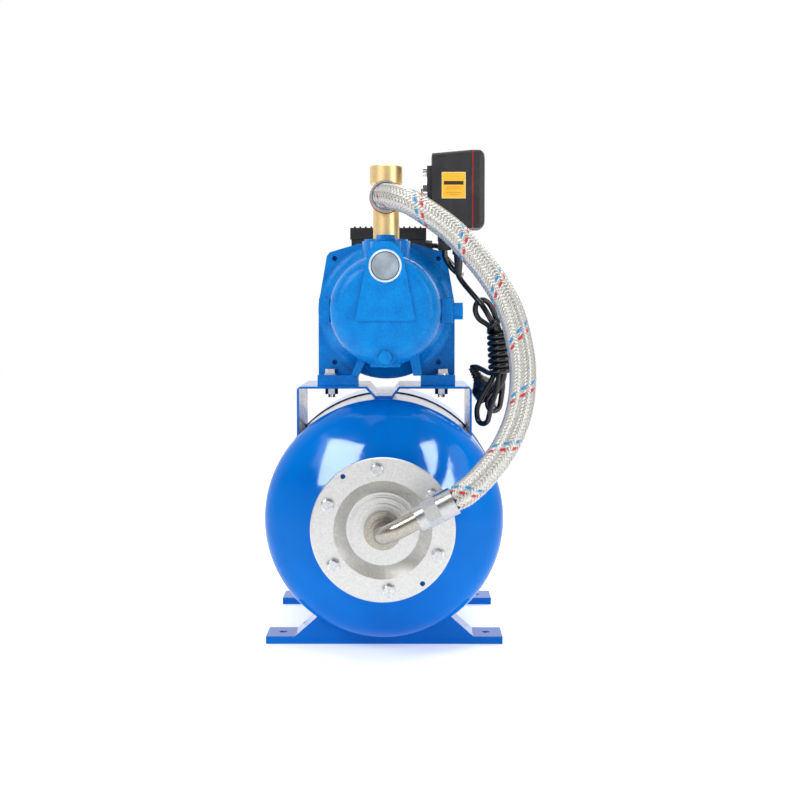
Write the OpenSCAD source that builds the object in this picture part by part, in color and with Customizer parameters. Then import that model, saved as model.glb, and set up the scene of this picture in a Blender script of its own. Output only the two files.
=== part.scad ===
// Automatic booster set: a cast jet pump with its motor on a horizontal pressure tank.
// Millimetres. +Z is up, -Y is the front. The origin is the centre of the four floor
// holes, on the floor, under the tank's axis and its weld seam.

/* [Tank] */
// Outside diameter of the tank
tank_d = 270; // [264:1:274]
// Height of the tank's axis above the floor
tank_z = 145; // [144:1:150]
// Length of the straight part of each half
tank_half_length = 163; // [155:1:170]
// Thickness of the tank's sheet
tank_wall = 2; // [1.5:0.5:3]
// Diameter of the galvanised flange
flange_d = 156; // [150:1:160]

/* [Feet] */
// Width over the ears of a foot
foot_width = 270; // [264:1:280]
// Depth of a foot
foot_depth = 56; // [50:1:62]
// Floor holes, centre to centre across
hole_spacing_x = 234; // [228:1:240]
// Floor holes, centre to centre front to back
hole_spacing_y = 254; // [244:1:264]
// Diameter of a floor hole
floor_hole_d = 9; // [8:0.5:10]

/* [Pump] */
// Height of the pump's shaft above the floor
axis_z = 380; // [380:1:382]
// Diameter of the pump casing's barrel
barrel_d = 123; // [120:1:124]
// Height of the suction port
suction_z = 428; // [426:1:430]
// Diameter of the one inch female threads, measured at their crests
port_d = 30.3; // [30:0.1:30.5]

/* [Motor] */
// Diameter over the motor's fins
motor_d = 134; // [130:1:134]
// Diameter of the shaft
shaft_d = 15; // [14:0.5:15]
// Number of cooling fins
fin_count = 32; // [24:1:36]

/* [Controls] */
// Height of the hose and switch ports on the brass fitting
port_z = 508; // [507:0.5:509]
// Diameter of the braided hose
hose_d = 28.5; // [26:0.5:29]
// Diameter of the mains cord
mains_d = 6.4; // [6:0.1:7]
// Diameter of the cable from the switch to the motor
cable_d = 7; // [6:0.5:7.5]

/* [Hidden] */
$fn = 96;
eps = 0.05;
pump_x = 2;
tank_r = tank_d / 2;
knuckle_r = 40;
crown_r = 200;
head_depth = crown_r - sqrt(pow(crown_r - knuckle_r, 2) - pow(tank_r - knuckle_r, 2));
neck_r = 57;
mouth_r = 54;
lip_r = 75;
lip_front = 260;
flange_front = 265;
flange_t = 3;
flange_bolt_r = 65;
flange_bolt_a = 95.5;
flange_bolt_count = 6;

ear_h = 8.5;
foot_sheet = 2;

plate_z = 293;
plate_t = 2.5;
plate_half = 100;
plate_front = -138;
plate_rear = 27;

// Distances in front of the tank's seam, measured along -Y.
adapter_rear = 72;
adapter_front = 84;
casing_front = 215;
pad_front = 218;
wall_rear = 150;
wall_front = 156;
barrel_r = barrel_d / 2;
chamber_r = 55;
nose_r = 43.5;
nose_fillet = barrel_r - nose_r;
fitting_y = -118;
outlet_top = 461;
priming_y = -165;
foot_bolt_y = -96;
foot_bolt_half = 64;
foot_h = 12;
foot_front = -110;
foot_inner = [33, 40];
drain_z = 328;
drain_front = -215.2;
spigot_r = 16.4;
plug_z = 379;

// The short legs under the casing's barrel, which stand over the feet.
CASING_LEGS = [
    [[-30, -50], [-40, -74.5], [-31, -74.5], [-20, -52]],
    [[26, -50], [31, -74.5], [41, -74.5], [37, -45]]
];

casing_bolt_r = 73;
CASING_BOLT_ANGLES = [30 : 60 : 330];

shaft_r = shaft_d / 2;
bearing_r = 17.5;
housing_r = 61;
housing_front = -72;
housing_rear = 86;
stack_front = -30;
stack_rear = 50;

box_x0 = -42;
box_x1 = 48;
box_y0 = 2;
box_y1 = 64;

switch_x0 = 48.6;
switch_step = 54.2;
seal_x0 = 99.4;
seal_x1 = 101;
switch_x1 = 113.8;
switch_bottom = 472.7;
switch_top = 561;
switch_half = 30;
gland_neck_r = 5;
COVER_LAYERS = [[4, 0.7], [2, 2], [0.7, 3.8], [0, 5.5]];

elbow_tilt = 27.5;
elbow_front = -325;
elbow_bend = 20;

// The braided hose, from the brass fitting to the tank's elbow.
HOSE_ROUTE = [
    [2, -152, 508], [2, -165, 507.5], [5.5, -179, 506], [15, -195, 503.5],
    [29.5, -207.5, 497.5], [47.5, -215, 486], [71, -221, 468.5], [90.5, -228, 448.5],
    [116, -240, 416], [135, -254, 382], [145, -267, 344], [148, -279, 309],
    [142.5, -292, 270.5], [126, -305, 234], [101.5, -316, 204.5], [81, -323, 188],
    [70, -325, 181.5]
];
// The cable from the switch's rear gland to the motor's terminal box.
CABLE_ROUTE = [
    [69, -118, 449], [70, -117, 441], [76, -112, 431], [85, -102, 423], [89, -86, 422],
    [88, -70, 426], [80, -50, 435], [72, -25, 446], [68, 0, 454], [66, 12, 458],
    [62, 20, 460], [57, 20, 460]
];
// The mains cord's free stretch, from its gland to the tied bundle.
MAINS_ROUTE = [
    [85, -118, 421], [90, -119, 414], [101, -122, 402], [112, -128, 392], [119, -133, 382],
    [126, -136, 370], [130, -134, 360]
];
// The bundle's outline down its length: X, Z and half width of the top loop, the two ends
// of the wrapped waist and the hanging loops.
BUNDLE = [[114, 381, 13], [132, 356, 15], [135, 314, 15], [119, 259, 16]];

function unit(v) = v / norm(v);

// A smooth curve through the route's points, with a number of steps to each span.
function curve_point(a, b, c, d, t) =
    (2 * b + (c - a) * t + (2 * a - 5 * b + 4 * c - d) * t * t
    + (3 * b - a - 3 * c + d) * t * t * t) / 2;
function curve(route, steps) = let (last = len(route) - 1) concat(
    [for (i = [0 : last - 1], s = [0 : steps - 1]) curve_point(
        i == 0 ? 2 * route[0] - route[1] : route[i - 1], route[i], route[i + 1],
        i == last - 1 ? 2 * route[last] - route[last - 1] : route[i + 2], s / steps)],
    [route[last]]);
function tangents(line) = let (last = len(line) - 1)
    [for (i = [0 : last]) unit(line[min(i + 1, last)] - line[max(i - 1, 0)])];
function across(v, t) = unit(v - (v * t) * t);
function normals(t) = [for (i = 0, n = across([0, 0.1, 1], t[0]); i < len(t);
    i = i + 1, n = i < len(t) ? across(n, t[i]) : n) n];
function ring(p, t, n, r, sides) = let (b = cross(t, n))
    [for (k = [0 : sides - 1]) p + r * (cos(360 * k / sides) * n + sin(360 * k / sides) * b)];

// A solid cord swept along a line of points.
module cord(route, r, steps, sides) {
    line = curve(route, steps);
    t = tangents(line);
    n = normals(t);
    count = len(line);
    points = [for (i = [0 : count - 1]) each ring(line[i], t[i], n[i], r, sides)];
    polyhedron(points, concat(
        [[for (k = [0 : sides - 1]) k]],
        [for (i = [0 : count - 2], k = [0 : sides - 1]) let (m = (k + 1) % sides)
            [i * sides + k, (i + 1) * sides + k, (i + 1) * sides + m, i * sides + m]],
        [[for (k = [0 : sides - 1]) count * sides - 1 - k]]));
}

// A hollow hose swept along a line of points.
module hose(route, outer, inner, steps, sides) {
    line = curve(route, steps);
    t = tangents(line);
    n = normals(t);
    count = len(line);
    both = 2 * sides;
    points = [for (i = [0 : count - 1]) each concat(
        ring(line[i], t[i], n[i], outer, sides), ring(line[i], t[i], n[i], inner, sides))];
    end = (count - 1) * both;
    polyhedron(points, [for (k = [0 : sides - 1]) let (m = (k + 1) % sides) each concat(
        [[k, m, sides + m, sides + k],
         [end + m, end + k, end + sides + k, end + sides + m]],
        [for (i = [0 : count - 2]) let (a = i * both, b = (i + 1) * both) each [
            [a + k, b + k, b + m, a + m],
            [a + sides + m, b + sides + m, b + sides + k, a + sides + k]]])]);
}

// Turns a profile of [radius, distance in front of the seam] about a line along Y.
module turned(x = 0, z = 0) {
    translate([x, 0, z]) rotate([90, 0, 0]) rotate_extrude() children();
}

// Extrudes an outline in X and Z from a front to a rear Y.
module slab(front, rear) {
    translate([0, rear, 0]) rotate([90, 0, 0]) linear_extrude(rear - front) children();
}

module band(r0, r1, f0, f1) {
    translate([r0, f0]) square([r1 - r0, f1 - f0]);
}

// Cylinders along Y, Z and X, each from its low end to its high end.
module rod_y(x, z, r, y0, y1, sides = 48) {
    translate([x, y1, z]) rotate([90, 0, 0]) cylinder(r = r, h = y1 - y0, $fn = sides);
}

module rod_z(x, y, r, z0, z1, sides = 48) {
    translate([x, y, z0]) cylinder(r = r, h = z1 - z0, $fn = sides);
}

module rod_x(y, z, r, x0, x1, sides = 48) {
    translate([x0, y, z]) rotate([0, 90, 0]) cylinder(r = r, h = x1 - x0, $fn = sides);
}

module rect(x0, x1, z0, z1) {
    translate([x0, z0]) square([x1 - x0, z1 - z0]);
}

// ---- Tank ----

// The half outline of a dished tank half, inset by a sheet's thickness.
module head_area(inset) {
    r = tank_r - inset;
    knuckle = knuckle_r - inset;
    crown = crown_r - inset;
    centre = tank_half_length + head_depth - crown_r;
    lean = asin((tank_r - knuckle_r) / (crown_r - knuckle_r));
    reach = 1.2 * crown;
    band(0, r, -eps, tank_half_length);
    translate([r - knuckle, tank_half_length]) circle(knuckle);
    intersection() {
        translate([0, centre]) circle(crown, $fn = 180);
        polygon([[0, centre], [reach * sin(lean), centre + reach * cos(lean)], [0, centre + reach]]);
    }
}

// One half, turned about +Z with its seam at zero. Children add to the profile.
module tank_half(hole_r) {
    rotate_extrude($fn = 180) difference() {
        union() {
            head_area(0);
            children();
        }
        head_area(tank_wall);
        band(0, hole_r, tank_half_length, flange_front);
        band(0, tank_r + 1, -2, 0);
    }
}

module neck_profile() {
    band(neck_r - 10, neck_r, tank_half_length + head_depth - 10, lip_front);
    band(neck_r - 10, lip_r, lip_front - flange_t, lip_front);
}

module flange_hole_pattern() {
    step = 360 / flange_bolt_count;
    for (i = [0 : flange_bolt_count - 1])
        rotate([0, -flange_bolt_a - i * step, 0]) translate([flange_bolt_r, 0, 0]) children();
}

module tank_front_half() {
    color("royalblue") translate([0, 0, tank_z]) difference() {
        rotate([90, 0, 0]) tank_half(mouth_r) neck_profile();
        flange_hole_pattern() rod_y(0, 0, 4.5, -flange_front, -lip_front + flange_t + 1, 32);
    }
}

module tank_rear_half() {
    color("royalblue") translate([0, 0, tank_z]) rotate([-90, 0, 0]) tank_half(6);
}

module tank_weld_seam() {
    color("midnightblue") turned(0, tank_z) difference() {
        translate([tank_r - 0.3, 0]) circle(1.6, $fn = 32);
        band(0, tank_r, -4, 4);
    }
}

module tank_membrane() {
    bag_r = 105;
    bag_rear = -95;
    bag_front = 120;
    rubber = 2.5;
    sleeve_r = mouth_r - 0.2;
    color("dimgray") turned(0, tank_z) difference() {
        union() {
            band(0, bag_r, bag_rear, bag_front);
            intersection() {
                translate([0, bag_rear]) circle(bag_r);
                band(0, bag_r, bag_rear - bag_r, bag_rear);
            }
            intersection() {
                translate([0, bag_front]) circle(bag_r);
                band(0, bag_r, bag_front, bag_front + bag_r);
            }
            band(0, sleeve_r, bag_front, lip_front);
            band(0, 60, lip_front, flange_front - flange_t);
        }
        band(0, bag_r - rubber, bag_rear, bag_front);
        intersection() {
            translate([0, bag_rear]) circle(bag_r - rubber);
            band(0, bag_r, bag_rear - bag_r, bag_rear);
        }
        intersection() {
            translate([0, bag_front]) circle(bag_r - rubber);
            band(0, bag_r, bag_front, bag_front + bag_r);
        }
        band(0, sleeve_r - rubber, bag_front, flange_front);
    }
}

// The pressed flange: a flat rim, a sunk slope and a raised middle with rings.
module tank_flange() {
    rim_r = flange_d / 2;
    rings = [[24, 264], [28, 261.5], [34, 259], [36.5, 256]];
    color("silver") translate([0, 0, tank_z]) difference() {
        turned() {
            polygon(concat([[53, flange_front], [rim_r - 1, flange_front],
                [rim_r, flange_front - 1], [rim_r, flange_front - flange_t],
                [51.2, flange_front - flange_t], [49, 259.5], [38.5, 252.5], [18, 252.5],
                [18, rings[0][1]]],
                [for (i = [0 : 2]) each [rings[i], [rings[i][0], rings[i + 1][1]]]],
                [[36.5, 256], [36.5, 255], [39.5, 255]]));
        }
        flange_hole_pattern() rod_y(0, 0, 4.5, -270, -255, 32);
        for (a = [126.5, -53.5]) rotate([0, -a, 0]) rod_y(71.5, 0, 2.75, -270, -255, 32);
    }
}

module flange_bolts() {
    color("gainsboro") translate([0, 0, tank_z]) flange_hole_pattern() {
        rod_y(0, 0, 4, -flange_front, -245, 32);
        rod_y(0, 0, 7.2, -flange_front - 0.8, -flange_front, 32);
        intersection() {
            rod_y(0, 0, 7.5, -flange_front - 6.3, -flange_front - 0.8, 6);
            turned() polygon([[0, flange_front], [9, flange_front], [9, flange_front + 4.6],
                [5.2, flange_front + 6.3], [0, flange_front + 6.3]]);
        }
    }
}

module flange_nuts() {
    color("gainsboro") translate([0, 0, tank_z]) flange_hole_pattern() difference() {
        rod_y(0, 0, 7.5, -lip_front + flange_t, -lip_front + flange_t + 6.5, 6);
        rod_y(0, 0, 4, -lip_front, -240, 32);
    }
}

function foot_outline(inset) = let (half = foot_width / 2 - inset, ear = ear_h - inset,
    flank = 102 - inset * 0.4, crest = 74 - inset * 0.7, top = 33.2 - inset * 0.7)
    [[-half, -inset], [half, -inset], [half, ear], [flank, ear], [crest, top],
     [-crest, top], [-flank, ear], [-half, ear]];

module foot(centre_y) {
    front = centre_y - foot_depth / 2;
    rear = centre_y + foot_depth / 2;
    hole_x = hole_spacing_x / 2;
    difference() {
        union() {
            difference() {
                slab(front, rear) polygon(foot_outline(0));
                slab(front + foot_sheet, rear - foot_sheet) polygon(foot_outline(foot_sheet));
            }
            slab(front + foot_sheet, rear - foot_sheet) intersection() {
                polygon(foot_outline(foot_sheet));
                translate([0, tank_z]) circle(tank_r + foot_sheet, $fn = 180);
            }
            for (side = [-1, 1]) rod_z(side * hole_x, centre_y, 9, 0, ear_h);
        }
        translate([0, 0, tank_z]) rod_y(0, 0, tank_r, -200, 200, 180);
        for (side = [-1, 1]) rod_z(side * hole_x, centre_y, floor_hole_d / 2, -1, ear_h + 1);
    }
}

module front_foot() {
    color("mediumblue") foot(-hole_spacing_y / 2);
}

module rear_foot() {
    color("mediumblue") foot(hole_spacing_y / 2);
}

// One folded sheet: a leg on each side, a flat top and a trough down to the tank.
module pump_bracket() {
    top = [[-plate_half, plate_z], [-19.7, plate_z], [-10, 282.5], [8.2, 282.5],
        [16.2, plate_z], [plate_half, plate_z]];
    under = [[plate_half - plate_t, plate_z - plate_t], [17.8, plate_z - plate_t],
        [9.6, 280], [-11.4, 280], [-21.3, plate_z - plate_t],
        [-plate_half + plate_t, plate_z - plate_t]];
    leg_bottom = 230;
    corner = 5;
    color("mediumblue") difference() {
        slab(plate_front, plate_rear) difference() {
            polygon(concat(top, [[plate_half, leg_bottom], [plate_half - plate_t, leg_bottom]],
                under, [[-plate_half + plate_t, leg_bottom], [-plate_half, leg_bottom]]));
            translate([0, tank_z]) circle(tank_r, $fn = 180);
            for (side = [-1, 1]) difference() {
                translate([side * (plate_half - corner / 2 + 1), plate_z - corner / 2 + 1])
                    square([corner + 2, corner + 2], center = true);
                translate([side * (plate_half - corner), plate_z - corner])
                    circle(corner, $fn = 32);
            }
        }
        slab(-3, 3) translate([0, tank_z]) circle(tank_r + 2, $fn = 180);
        for (side = [-1, 1], slot = [-5, 5])
            rod_z(pump_x + side * foot_bolt_half + slot, foot_bolt_y, 4.5, 280, 300, 32);
        for (side = [-1, 1])
            translate([pump_x + side * foot_bolt_half - 5, foot_bolt_y - 4.5, 280])
                cube([10, 9, 20]);
    }
}

module air_valve() {
    rear = tank_half_length + head_depth;
    color("goldenrod") turned(0, tank_z) {
        band(3, 6, -rear - 6, -rear + 4);
        band(3, 9, -rear - 2.5, -rear);
        band(0, 4, -rear - 14, -rear - 6);
    }
}

module air_valve_cap() {
    rear = tank_half_length + head_depth;
    color("black") turned(0, tank_z) difference() {
        band(0, 9, -rear - 20, -rear - 2.5);
        band(0, 6.1, -rear - 15, -rear);
    }
}

// ---- Connection from the tank to the hose ----

module flange_coupling() {
    color("tan") turned(0, tank_z) {
        band(10, 20.5, 264, 273);
        band(10, 19, 273, 275);
        band(10, 18, 240, 264);
    }
}

// Places children in the elbow's plane: X runs along the hose end, Y to the back.
module elbow_plane() {
    translate([0, 0, tank_z]) rotate([0, -elbow_tilt, 0]) children();
}

module elbow_tube() {
    straight = elbow_front + elbow_bend;
    color("tan") elbow_plane() difference() {
        union() {
            rod_y(0, 0, 10, straight, -250);
            rod_y(0, 0, 13, -282, -275);
            translate([elbow_bend, straight, 0]) rotate([0, 0, 180])
                rotate_extrude(angle = 90) translate([elbow_bend, 0]) circle(10, $fn = 48);
            rod_x(elbow_front, 0, 10, elbow_bend, 52);
        }
        rod_y(0, 0, 8, straight, -249);
        translate([elbow_bend, straight, 0]) rotate([0, 0, 180])
            rotate_extrude(angle = 90) translate([elbow_bend, 0]) circle(8, $fn = 48);
        rod_x(elbow_front, 0, 8, elbow_bend, 53);
    }
}

module lower_ferrule() {
    color("whitesmoke") elbow_plane() difference() {
        union() {
            rod_x(elbow_front, 0, 14, 41, 51);
            rod_x(elbow_front, 0, 15, 51, 66, 6);
            rod_x(elbow_front, 0, 14.75, 66, 84);
        }
        rod_x(elbow_front, 0, 10, 40, 60);
        rod_x(elbow_front, 0, 7, 59, 76);
        rod_x(elbow_front, 0, 12.6, 76, 85);
    }
}

// The hose is crimped narrower inside each ferrule and swells to its full width.
module hose_braid() {
    color("lightgray") difference() {
        hose(HOSE_ROUTE, hose_d / 2, hose_d / 2 - 2, 3, 24);
        elbow_plane() rod_x(elbow_front, 0, 22, 50, 84.2);
    }
}

module hose_liner() {
    color("black") hose(HOSE_ROUTE, hose_d / 2 - 2.2, hose_d / 2 - 5, 3, 16);
}

module upper_nut() {
    color("whitesmoke") turned(pump_x, port_z) difference() {
        union() {
            band(0, 17, 140, 143);
            band(0, 18, 143, 156);
            band(0, 17.2, 156, 158);
        }
        band(0, 15.5, 149, 159);
        band(0, 9, 139, 150);
    }
}

module hose_gasket() {
    color("firebrick") turned(pump_x, port_z) band(9, 18.8, 137, 140);
}

// ---- Pump ----

module casing_profile() {
    bell = 22;
    band(0, 79.5, adapter_front, adapter_front + 9);
    band(0, barrel_r, adapter_front, casing_front - nose_fillet);
    band(0, nose_r, adapter_front, casing_front);
    translate([nose_r, casing_front - nose_fillet]) circle(nose_fillet);
    difference() {
        band(barrel_r - 1, 77, adapter_front + 8, adapter_front + 9 + bell);
        translate([barrel_r + bell, adapter_front + 9 + bell]) circle(bell);
    }
}

// The raised pad on the nose, wide at the foot and round over the suction port.
module pad_outline() {
    hull() {
        translate([0, 435]) circle(20, $fn = 32);
        for (side = [-1, 1]) translate([side * 29, 371.5]) circle(3.5, $fn = 32);
    }
}

module pump_casing() {
    color("dodgerblue") difference() {
        union() {
            turned(pump_x, axis_z) casing_profile();
            translate([pump_x, 0, 0]) slab(-pad_front, -150) pad_outline();
            rod_y(pump_x, suction_z, 18, -pad_front, -150);
            rod_y(pump_x, suction_z, 22, -205, -150);
            rod_y(pump_x, drain_z, 11, drain_front, -170);
            translate([pump_x, 0, 0]) slab(-203, -150) rect(-16.5, 16.5, 317, 345);
            translate([pump_x, 0, 0]) slab(-190, -150) rect(-20, 20, 320, 350);
            rod_z(pump_x, fitting_y, 27.5, 420, outlet_top - 2);
            rod_z(pump_x, fitting_y, 25, 420, outlet_top);
            rod_z(pump_x, priming_y, 17, 425, 457);
            rod_x(-150, plug_z, 13.5, pump_x + 40, pump_x + 76);
            for (side = [-1, 1]) translate([pump_x, 0, 0])
                slab(-185, -100) rect(side * 68 - 6, side * 68 + 6, 366, 393);
            for (leg = CASING_LEGS) translate([pump_x, 0, axis_z])
                slab(-142, -100) polygon(leg);
        }
        turned(pump_x, axis_z) {
            band(0, chamber_r, adapter_front - 1, wall_rear);
            band(0, chamber_r - 6, wall_front, casing_front - nose_fillet);
            band(0, nose_r - 8, wall_front, casing_front - 7);
            band(0, 13, wall_rear - 1, wall_front + 1);
        }
        rod_y(pump_x, suction_z, port_d / 2, -pad_front - 1, -176);
        rod_y(pump_x, suction_z, 15.6, -pad_front - 1, -pad_front + 4);
        rod_y(pump_x, drain_z, 6, drain_front - 1, -190);
        rod_z(pump_x, fitting_y, spigot_r + 0.1, 425, outlet_top + 1);
        rod_z(pump_x, priming_y, 8, 425, 460);
        rod_x(-150, plug_z, 6, pump_x + 50, pump_x + 80);
        for (a = CASING_BOLT_ANGLES) translate([pump_x, 0, axis_z]) rotate([0, -a, 0])
            rod_y(casing_bolt_r, 0, 3, -adapter_front - 8, -adapter_front + 1, 32);
    }
}

module suction_cap() {
    color("darkgray") turned(pump_x, suction_z) {
        band(0, 15.2, pad_front - 3.8, pad_front - 0.6);
        band(0, 14.75, pad_front - 1, pad_front + 0.4);
    }
}

module drain_plug() {
    color("dodgerblue") {
        rod_y(pump_x, drain_z, 6, drain_front, drain_front + 17);
        rod_y(pump_x, drain_z, 8.4, drain_front - 1, drain_front);
        rod_y(pump_x, drain_z, 8.3, drain_front - 5, drain_front - 1, 6);
    }
}

module priming_plug() {
    color("deepskyblue") {
        rod_z(pump_x, priming_y, 8, 443, 457);
        rod_z(pump_x, priming_y, 12, 457, 459);
        rod_z(pump_x, priming_y, 10.5, 459, 464, 6);
    }
}

module side_plug() {
    color("dodgerblue") {
        rod_x(-150, plug_z, 6, pump_x + 60, pump_x + 76);
        rod_x(-150, plug_z, 9.5, pump_x + 76, pump_x + 87, 6);
    }
}

module jet_nozzle() {
    color("gold") turned(pump_x, axis_z) polygon([[4, 166], [5.5, 166], [9, 186], [9, 208],
        [7, 208], [7, 187]]);
}

module venturi_tube() {
    color("dimgray") turned(pump_x, axis_z) polygon([[13, wall_front], [16, wall_front],
        [16, wall_front + 4], [9, wall_front + 4], [6, 150], [6, 142], [11.5, 112],
        [14, 112], [14, 120], [10, 144], [13, wall_rear]]);
}

module diffuser() {
    color("dimgray") {
        turned(pump_x, axis_z) difference() {
            band(14, 54, 104, 111);
            band(20, 50, 103, 107);
        }
        translate([pump_x, 0, axis_z]) for (a = [0 : 60 : 300]) rotate([0, -a, 0])
            translate([23, -108, -1.5]) cube([25, 4, 3]);
    }
}

// A vane that sweeps back along a spiral from the hub to the rim.
function vane_outline(outer) = let (steps = 10, sweep = 75, hub = 11, thick = 2.2)
    [for (side = [0, 1], i = [0 : steps]) let (k = side == 0 ? i : steps - i,
        r = hub + (outer - 0.5 - hub) * k / steps, a = -sweep * k / steps)
        [r * cos(a) - side * thick * sin(a), r * sin(a) + side * thick * cos(a)]];

module impeller() {
    outer = 46;
    color("darkgoldenrod") translate([pump_x, 0, axis_z]) difference() {
        union() {
            turned() {
                band(0, outer, 88, 91);
                band(0, 12, 88, 100);
                band(20, outer, 98, 100.5);
            }
            slab(-98.5, -90.5) for (a = [0 : 60 : 300]) rotate(a) polygon(vane_outline(outer));
        }
        rod_y(0, 0, shaft_r, -110, -80);
    }
}

module impeller_nut() {
    color("gold") translate([pump_x, 0, axis_z]) difference() {
        rod_y(0, 0, 10, -107, -100, 6);
        rod_y(0, 0, 5, -110, -95);
    }
}

module seal_ring() {
    color("silver") turned(pump_x, axis_z) {
        band(shaft_r, 12, 80.2, 88);
    }
}

module seal_seat() {
    color("ivory") turned(pump_x, axis_z) band(shaft_r + 1, 13, 73, 80);
}

module casing_bolts() {
    color("gainsboro") translate([pump_x, 0, axis_z]) for (a = CASING_BOLT_ANGLES)
        rotate([0, -a, 0]) {
            rod_y(casing_bolt_r, 0, 3, -adapter_front - 7, -adapter_rear, 32);
            rod_y(casing_bolt_r, 0, 5.6, -adapter_rear, -adapter_rear + 4, 6);
        }
}

module adapter_outline() {
    half = [[79.8, -10], [79.6, 8], [70, 63.5], [66.5, 68], [33, 78]];
    circle(80);
    polygon(concat(half, [for (i = [len(half) - 1 : -1 : 0]) [-half[i][0], half[i][1]]]));
    for (side = [0, 1]) mirror([1 - side, 0]) rect(foot_inner[side], 79.8, plate_z - axis_z, 0);
}

module motor_adapter() {
    color("dodgerblue") difference() {
        union() {
            translate([pump_x, 0, axis_z]) slab(-adapter_front, -adapter_rear) adapter_outline();
            turned(pump_x, axis_z) {
                band(0, 24, adapter_rear - 16, adapter_rear + 1);
                band(housing_r - 8, housing_r - 3, adapter_rear - 8, adapter_rear + 1);
            }
            for (side = [0, 1]) translate([pump_x, 0, plate_z]) mirror([1 - side, 0, 0])
                translate([foot_inner[side], foot_front, 0])
                    cube([79.8 - foot_inner[side], -60 - foot_front, foot_h]);
        }
        turned(pump_x, axis_z) {
            band(0, 13, adapter_rear + 1, adapter_front + 1);
            band(0, shaft_r + 1, 50, 90);
            band(0, bearing_r, 55, adapter_rear - 4);
        }
        translate([pump_x, 0, axis_z]) for (sx = [-1, 1], sz = [-1, 1])
            rod_y(sx * 60.6, sz * 60.6, 2.8, -90, -75, 32);
        for (a = CASING_BOLT_ANGLES) translate([pump_x, 0, axis_z]) rotate([0, -a, 0])
            rod_y(casing_bolt_r, 0, 3, -90, -60, 32);
        for (side = [-1, 1])
            rod_z(pump_x + side * foot_bolt_half, foot_bolt_y, 4.5, 280, 320);
    }
}

// A bolt with its washers and nut on each foot of the pump.
module foot_bolts() {
    head_z = plate_z + foot_h + 1.6;
    nut_z = plate_z - plate_t - 1.6;
    color("silver") for (side = [-1, 1])
        translate([pump_x + side * foot_bolt_half, foot_bolt_y, 0]) {
            rod_z(0, 0, 4, nut_z - 10, head_z, 32);
            rod_z(0, 0, 8.5, head_z - 1.6, head_z);
            rod_z(0, 0, 7.5, head_z, head_z + 5.3, 6);
            rod_z(0, 0, 9, nut_z, nut_z + 1.6);
            rod_z(0, 0, 7.5, nut_z - 6.5, nut_z, 6);
        }
}

// ---- Motor ----

module motor_shaft() {
    color("silver") translate([pump_x, 0, axis_z]) {
        rod_y(0, 0, shaft_r, -100, 116);
        rod_y(0, 0, 5, -109, -100);
    }
}

module bearings() {
    color("lightgray") turned(pump_x, axis_z) {
        band(shaft_r + 0.05, bearing_r, 57, 68);
        band(shaft_r + 0.05, bearing_r, -84, -73);
    }
}

module rotor_core() {
    color("slategray") turned(pump_x, axis_z) {
        band(shaft_r, 29.7, -stack_rear, -stack_front);
        band(16, 27, -stack_front, -stack_front + 8);
        band(16, 27, -stack_rear - 8, -stack_rear);
    }
}

module stator_core() {
    color("dimgray") turned(pump_x, axis_z)
        band(30.3, housing_r - 3, -stack_rear, -stack_front);
}

module windings() {
    color("chocolate") turned(pump_x, axis_z) {
        translate([41, -stack_front + 9]) circle(8);
        band(34, 48, -stack_front, -stack_front + 9);
        translate([41, -stack_rear - 9]) circle(8);
        band(34, 48, -stack_rear - 9, -stack_rear);
    }
}

module motor_housing() {
    color("dodgerblue") translate([pump_x, 0, axis_z]) {
        slab(housing_front, housing_rear) difference() {
            union() {
                circle(housing_r);
                for (i = [0 : fin_count - 1]) rotate((i + 0.5) * 360 / fin_count)
                    translate([housing_r - 1, -0.9]) square([motor_d / 2 - housing_r + 1, 1.8]);
            }
            circle(housing_r - 3);
        }
    }
}

module rear_shield() {
    color("dodgerblue") turned(pump_x, axis_z) difference() {
        union() {
            band(0, motor_d / 2 - 2, -housing_rear - 7, -housing_rear);
            band(0, 24, -housing_rear, -housing_rear + 14);
            band(housing_r - 8, housing_r - 3, -housing_rear, -housing_rear + 6);
        }
        band(0, bearing_r, -housing_rear + 2, -housing_rear + 15);
        band(0, shaft_r + 1, -housing_rear - 10, 0);
    }
}

module fan() {
    fan_front = 99;
    color("black") translate([pump_x, 0, axis_z]) difference() {
        union() {
            rod_y(0, 0, 11, fan_front, fan_front + 15);
            rod_y(0, 0, 52, fan_front, fan_front + 2);
            for (a = [0 : 45 : 315]) rotate([0, -a, 0])
                translate([9, fan_front + 1, -1]) cube([42, 13, 2]);
        }
        rod_y(0, 0, shaft_r, 90, 130);
    }
}

module fan_cover() {
    cover_rear = 128;
    cover_r = motor_d / 2;
    wall = 1.5;
    color("black") translate([pump_x, 0, axis_z]) difference() {
        union() {
            rod_y(0, 0, cover_r, housing_rear + 7, cover_rear - 6, 96);
            rod_y(0, 0, cover_r - 5, housing_rear + 7, cover_rear, 96);
        }
        rod_y(0, 0, cover_r - wall, housing_rear, cover_rear - 6 - wall, 96);
        rod_y(0, 0, cover_r - 5 - wall, housing_rear, cover_rear - wall, 96);
        for (ring = [0 : 2], a = [0 : 15 : 345]) rotate([0, -a, 0])
            rod_y(26 + 12 * ring, 0, 2.2 + ring * 0.6, 120, cover_rear + 1, 16);
    }
}

module terminal_box() {
    wall = 2.5;
    color("black") difference() {
        translate([box_x0, box_y0, 430]) cube([box_x1 - box_x0, box_y1 - box_y0, 37]);
        translate([box_x0 + wall, box_y0 + wall, 449])
            cube([box_x1 - box_x0 - 2 * wall, box_y1 - box_y0 - 2 * wall, 30]);
        translate([pump_x, 0, axis_z]) rod_y(0, 0, motor_d / 2 + 0.1, -20, 100, 96);
        rod_x(20, 460, 4, box_x1 - 5, box_x1 + 5, 32);
    }
}

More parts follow.
